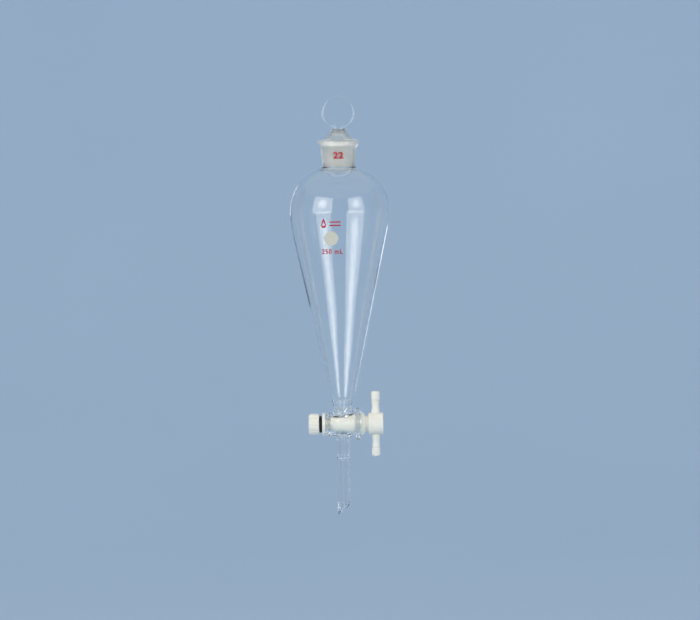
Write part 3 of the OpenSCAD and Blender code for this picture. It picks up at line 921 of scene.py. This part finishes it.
def o_ring():
    cx, cr, s = -15.0 - 1.1 - 0.02, 3.8 + 0.2 + 1.1, 1.1
    b = Build()
    n, k = 144, 40
    t = np.arange(n) * 2 * math.pi / n
    rings = []
    for j in range(k):
        a = 2 * math.pi * j / k
        # a moulding line stands out a hair round the outer and inner edge
        d = abs(math.cos(a)) > 0.995
        r = s - 0.035 + (0.035 if d else 0.0)
        rr, x = cr + r * math.cos(a), cx + r * math.sin(a)
        rings.append(b.verts(np.stack([np.full(n, x), rr * np.cos(t), rr * np.sin(t) + COCK_Z], 1)))
    for j in range(k):
        b.band(rings[j], rings[(j + 1) % k])
    ob = b.object("rubber_o_ring", [RUBBER])
    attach(ob, "seals")
    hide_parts("o_ring")
    return ob


def nut():
    x0, x1, R, ribs = -24.9, -17.3, 7.8, 12
    b = Build()
    n = ribs * 24
    t = np.arange(n) * 2 * math.pi / n
    ph = (t * ribs / (2 * math.pi) + 0.36) % 1.0
    groove = np.exp(-(((ph - 0.5) / 0.085) ** 2) * 1.0)
    prof = round_profile(
        [(x0, 0.0), (x0, 6.6), (x0 + 1.5, R), (x1 - 0.6, R), (x1, R - 0.7), (x1, 3.87)],
        [0, 1.1, 1.3, 0.5, 0.35, 0],
        7,
    )
    dense = []
    for i, (x, r) in enumerate(prof):
        dense.append((x, r))
        if i + 1 < len(prof) and prof[i + 1][0] - x > 1.0:
            for j in range(1, 9):
                u = j / 9
                dense.append((x + (prof[i + 1][0] - x) * u, r + (prof[i + 1][1] - r) * u))
    rings, start = [], None
    for x, r in dense:
        if r < 1e-6:
            start = x
            continue
        depth = 0.42 * np.clip((r - 6.2) / 1.0, 0, 1) * np.clip((x1 - 0.05 - x) / 0.9, 0, 1)
        rr = r - depth * groove
        rings.append(b.verts(np.stack([np.full(n, x), rr * np.cos(t), rr * np.sin(t) + COCK_Z], 1)))
    b.cap(rings[0], (start, 0, COCK_Z))
    for i in range(len(rings) - 1):
        b.band(rings[i], rings[i + 1])
    # the blind bore with its thread
    xs = np.arange(x1, x0 + 1.25, -0.12)
    last = rings[-1]
    for x in xs[1:]:
        p = ((x / PITCH - t / (2 * math.pi)) % 1.0)
        tri = np.clip(1.35 - 2.7 * np.abs(p - 0.5) * 1.25, 0, 1)
        fade = np.clip((x1 - 0.5 - x) / 0.8, 0, 1)
        r = 3.87 + 0.0 * tri + 0.55 * (1 - tri) * fade * 0.9
        cur = b.verts(np.stack([np.full(n, x), r * np.cos(t), r * np.sin(t) + COCK_Z], 1))
        b.band(last, cur)
        last = cur
    b.cap(last, (xs[-1], 0, COCK_Z))
    ob = b.object("nut", [PTFE_X], smooth=38)
    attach(ob, "nut")
    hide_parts("tension_nut")
    return ob


# ------------------------------------------------------------------- marks -
def flat_text(body, height, x_left, z_base, width=None, offset=0.0, spacing=1.06):
    """Outlines of plain numerals as a flat mesh in millimetres, x right and z up."""
    cu = bpy.data.curves.new("t", "FONT")
    cu.body = body
    cu.size = 1.0
    cu.resolution_u = 6
    cu.offset = offset
    cu.space_character = spacing
    ob = bpy.data.objects.new("t", cu)
    scene.collection.objects.link(ob)
    bpy.context.view_layer.update()
    dg = bpy.context.evaluated_depsgraph_get()
    me = bpy.data.meshes.new_from_object(ob.evaluated_get(dg))
    co = np.array([v.co[:] for v in me.vertices])
    lo, hi = co.min(0), co.max(0)
    k = height / (hi[1] - lo[1])
    kx = k if width is None else width / (hi[0] - lo[0])
    x = (co[:, 0] - lo[0]) * kx + x_left
    z = (co[:, 1] - lo[1]) * k + z_base
    faces = [list(p.vertices) for p in me.polygons]
    bpy.data.objects.remove(ob)
    bpy.data.curves.remove(cu)
    bpy.data.meshes.remove(me)
    return np.stack([x, z], 1), faces


def wrap(name, flats, radius_at, material, body_node, thickness=0.15, lift=0.012, cell=0.45):
    """Lays flat outlines on the glass as a thin layer of enamel. flats is [(points, faces)] in x, z."""
    import bmesh

    bm = bmesh.new()
    for pts, faces in flats:
        vs = [bm.verts.new((p[0], 0, p[1])) for p in pts]
        for f in faces:
            try:
                bm.faces.new([vs[i] for i in f])
            except ValueError:
                pass
    bmesh.ops.remove_doubles(bm, verts=bm.verts, dist=1e-4)
    xs = [v.co.x for v in bm.verts]
    zs = [v.co.z for v in bm.verts]
    for x in np.arange(min(xs) + cell, max(xs), cell):
        geom = bm.verts[:] + bm.edges[:] + bm.faces[:]
        bmesh.ops.bisect_plane(bm, geom=geom, dist=1e-6, plane_co=(x, 0, 0), plane_no=(1, 0, 0))
    for z in np.arange(min(zs) + 1.2, max(zs), 1.2):
        geom = bm.verts[:] + bm.edges[:] + bm.faces[:]
        bmesh.ops.bisect_plane(bm, geom=geom, dist=1e-6, plane_co=(0, 0, z), plane_no=(0, 0, 1))
    bmesh.ops.triangulate(bm, faces=bm.faces[:])
    bm.verts.ensure_lookup_table()
    bm.verts.index_update()
    co = np.array([v.co[:] for v in bm.verts])
    tri = [[v.index for v in f.verts] for f in bm.faces]
    border = {}
    for e in bm.edges:
        if len(e.link_faces) == 1:
            border[(e.verts[0].index, e.verts[1].index)] = 1
    bm.free()
    R = radius_at(co[:, 2])
    a = co[:, 0] / R

    def lay(extra):
        rr = R + extra
        return np.stack([rr * np.sin(a), -rr * np.cos(a), co[:, 2]], 1)

    b = Build()
    # the printed layer: its top, its underside and a straight wall round its edge
    top, low = b.verts(lay(lift + thickness)), b.verts(lay(lift))
    for f in tri:
        b.face([top[i] for i in f])
        b.face([low[i] for i in reversed(f)])
    for i, j in border:
        b.face((top[i], top[j], low[j], low[i]))
    ob = b.object(name, [material], smooth=30)
    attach(ob, "glass")
    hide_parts(body_node)
    return ob


def disc(cx, cz, rx, rz, n=72, hole=0.0):
    t = np.arange(n) * 2 * math.pi / n
    outer = np.stack([cx + rx * np.cos(t), cz + rz * np.sin(t)], 1)
    if hole <= 0:
        rings = [outer]
        for k in (0.75, 0.5, 0.25):
            rings.append(np.stack([cx + rx * k * np.cos(t), cz + rz * k * np.sin(t)], 1))
        pts = np.concatenate(rings + [[[cx, cz]]])
        faces = []
        for s in range(3):
            for i in range(n):
                j = (i + 1) % n
                faces.append([s * n + i, s * n + j, (s + 1) * n + j, (s + 1) * n + i])
        for i in range(n):
            faces.append([3 * n + i, 3 * n + (i + 1) % n, 4 * n])
        return pts, faces
    inner = np.stack([cx + rx * hole * np.cos(t), cz + rz * hole * np.sin(t)], 1)
    faces = [[i, (i + 1) % n, n + (i + 1) % n, n + i] for i in range(n)]
    return np.concatenate([outer, inner]), faces


def drop(cx, cz, r, wall, n=64):
    """A plain drop outline, a closed band."""

    def line(scale, dz):
        pts = []
        for i in range(n):
            a = 2 * math.pi * i / n
            s = math.sin(a / 2)
            x = scale * r * math.sin(a) * s ** 1.5
            z = scale * r * 1.42 * math.cos(a)
            pts.append((cx + x, cz + z + dz))
        return pts

    outer, inner = line(1.0, 0.0), line(wall, -r * 0.16)
    faces = [[i, (i + 1) % n, n + (i + 1) % n, n + i] for i in range(n)]
    return np.array(outer + inner), faces


def bar_mark(x0, x1, z0, z1):
    k = min((z1 - z0) * 0.35, 0.3)
    pts = [(x0 + k, z0), (x1 - k, z0), (x1, z0 + k), (x1, z1 - k), (x1 - k, z1), (x0 + k, z1), (x0, z1 - k), (x0, z0 + k)]
    return np.array(pts), [list(range(8))]


def marks():
    wrap("capacity_numerals", [flat_text("250 mL", 3.7, -13.2, 192.95, width=15.2, offset=0.024, spacing=1.24)], skin_r, RED, "capacity_mark")
    wrap("size_numerals", [flat_text("22", 4.9, -3.9, 261.15, width=7.3, offset=0.034, spacing=1.12)], neck_r, RED, "size_mark", cell=0.3)
    wrap("ivory_spot", [disc(-6.25, 204.2, 5.25, 5.2)], skin_r, IVORY, "marking_spot")
    wrap(
        "drop_and_rules",
        [drop(-11.6, 215.3, 2.5, 0.5), bar_mark(-7.5, 0.9, 215.6, 216.45), bar_mark(-7.5, 0.9, 213.2, 214.05)],
        skin_r, RED, "blank_mark",
    )


glass_body()
glass_stopper()
plug()
bar()
washer()
o_ring()
nut()
marks()

# --------------------------------------------------------- floor and light -
FLOOR_Z = -0.42


def cyclorama():
    m, nt, p = new_mat("pale_paper")
    co = object_coords(nt)
    n1 = node(nt, "ShaderNodeTexNoise", Scale=1.4, Detail=2.0)
    nt.links.new(co, n1.inputs["Vector"])
    nt.links.new(
        ramp(nt, n1.outputs["Fac"], [(0.3, (0.50, 0.60, 0.705)), (0.7, (0.525, 0.625, 0.73))]), p.inputs["Base Color"]
    )
    p.inputs["Roughness"].default_value = 0.9
    p.inputs["Emission Color"].default_value = (0.55, 0.70, 0.88, 1)
    p.inputs["Emission Strength"].default_value = 0.15
    n, rad = 96, 4.2
    prof = [(0.0, 0.0), (1.5, 0.0), (2.6, 0.0)]
    for i in range(1, 13):
        a = math.pi / 2 * i / 12
        prof.append((2.6 + 1.6 * math.sin(a), 1.6 * (1 - math.cos(a))))
    prof += [(rad, 2.6), (rad, 3.4)]
    verts, faces = [(0, 0, FLOOR_Z)], []
    for r, z in prof[1:]:
        for i in range(n):
            a = 2 * math.pi * i / n
            verts.append((r * math.cos(a), r * math.sin(a), FLOOR_Z + z))
    for i in range(n):
        faces.append((0, 1 + i, 1 + (i + 1) % n))
    for s in range(len(prof) - 2):
        for i in range(n):
            j = (i + 1) % n
            a, c = 1 + s * n, 1 + (s + 1) * n
            faces.append((a + i, c + i, c + j, a + j))
    me = bpy.data.meshes.new("floor")
    me.from_pydata(verts, [], faces)
    me.materials.append(m)
    me.polygons.foreach_set("use_smooth", [True] * len(me.polygons))
    ob = bpy.data.objects.new("floor", me)
    scene.collection.objects.link(ob)


def softbox(name, az, el0, el1, width_deg, dist, base, hot, hot_el, hot_w, diffuse=True, transmission=True, colour=(1, 0.985, 0.96)):
    """A tall diffuser that faces the bulb, given by the angles it fills as seen from there. It is
    brightest in front of its lamp, at hot_el, and falls off towards its edges."""
    c = Vector((0, 0, 0.17))
    z0, z1 = dist * math.tan(math.radians(el0)), dist * math.tan(math.radians(el1))
    w = 2 * dist * math.tan(math.radians(width_deg / 2))
    a = math.radians(az)
    pos = c + Vector((math.sin(a) * dist, -math.cos(a) * dist, (z0 + z1) / 2))
    me = bpy.data.meshes.new(name)
    h = z1 - z0
    me.from_pydata([(-w / 2, 0, -h / 2), (w / 2, 0, -h / 2), (w / 2, 0, h / 2), (-w / 2, 0, h / 2)], [], [(0, 1, 2, 3)])
    m = bpy.data.materials.new(name)
    m.use_nodes = True
    nt = m.node_tree
    nt.nodes.clear()
    out = nt.nodes.new("ShaderNodeOutputMaterial")
    em = nt.nodes.new("ShaderNodeEmission")
    em.inputs["Color"].default_value = (*colour, 1)
    tc = nt.nodes.new("ShaderNodeTexCoord")
    mp = nt.nodes.new("ShaderNodeMapping")
    hz = dist * math.tan(math.radians(hot_el)) - (z0 + z1) / 2
    k = 1.0 / (dist * math.tan(math.radians(hot_w)))
    mp.inputs["Scale"].default_value = (k, k, k)
    mp.inputs["Location"].default_value = (0, 0, -hz * k)
    gr = nt.nodes.new("ShaderNodeTexGradient")
    gr.gradient_type = "SPHERICAL"
    mr = nt.nodes.new("ShaderNodeMapRange")
    mr.interpolation_type = "SMOOTHERSTEP"
    mr.inputs["To Min"].default_value = base
    mr.inputs["To Max"].default_value = base + hot
    nt.links.new(tc.outputs["Object"], mp.inputs["Vector"])
    nt.links.new(mp.outputs["Vector"], gr.inputs["Vector"])
    nt.links.new(gr.outputs["Fac"], mr.inputs["Value"])
    nt.links.new(mr.outputs["Result"], em.inputs["Strength"])
    nt.links.new(em.outputs["Emission"], out.inputs["Surface"])
    me.materials.append(m)
    ob = bpy.data.objects.new(name, me)
    scene.collection.objects.link(ob)
    ob.location = pos
    ob.rotation_euler = (0, 0, a)
    ob.visible_camera = False
    ob.visible_shadow = False
    ob.visible_diffuse = diffuse
    ob.visible_transmission = transmission
    return ob


cyclorama()
softbox("softbox_left", -41, 1, 34.5, 47, 1.3, 3.1, 4.2, 19, 17)
softbox("softbox_right", 41, 1, 33, 38, 1.3, 2.9, 3.8, 19, 16)
# pale panels at the sides, which the glass bends into its edges
softbox("panel_left", -112, -34, 34, 18, 1.6, 0.26, 0.1, 5, 30, diffuse=False)
softbox("panel_right", 110, -34, 34, 18, 1.6, 0.30, 0.1, 5, 30, diffuse=False)
softbox("edge_right", 158, -14, -3, 6, 1.5, 3.2, 0.3, -6, 20, diffuse=False, transmission=False)
softbox("edge_left", -162, 0, 12, 5, 1.5, 2.6, 0.3, 6, 20, diffuse=False, transmission=False)

world = bpy.data.worlds.new("world")
scene.world = world
world.use_nodes = True
world.node_tree.nodes["Background"].inputs["Color"].default_value = (0.78, 0.86, 0.95, 1)
world.node_tree.nodes["Background"].inputs["Strength"].default_value = 0.55

scene.view_settings.view_transform = "Standard"
scene.cycles.sample_clamp_indirect = 0.0
scene.cycles.blur_glossy = 0.0
scene.cycles.max_bounces = 24
scene.cycles.transmission_bounces = 24
scene.cycles.glossy_bounces = 8
scene.cycles.transparent_max_bounces = 16
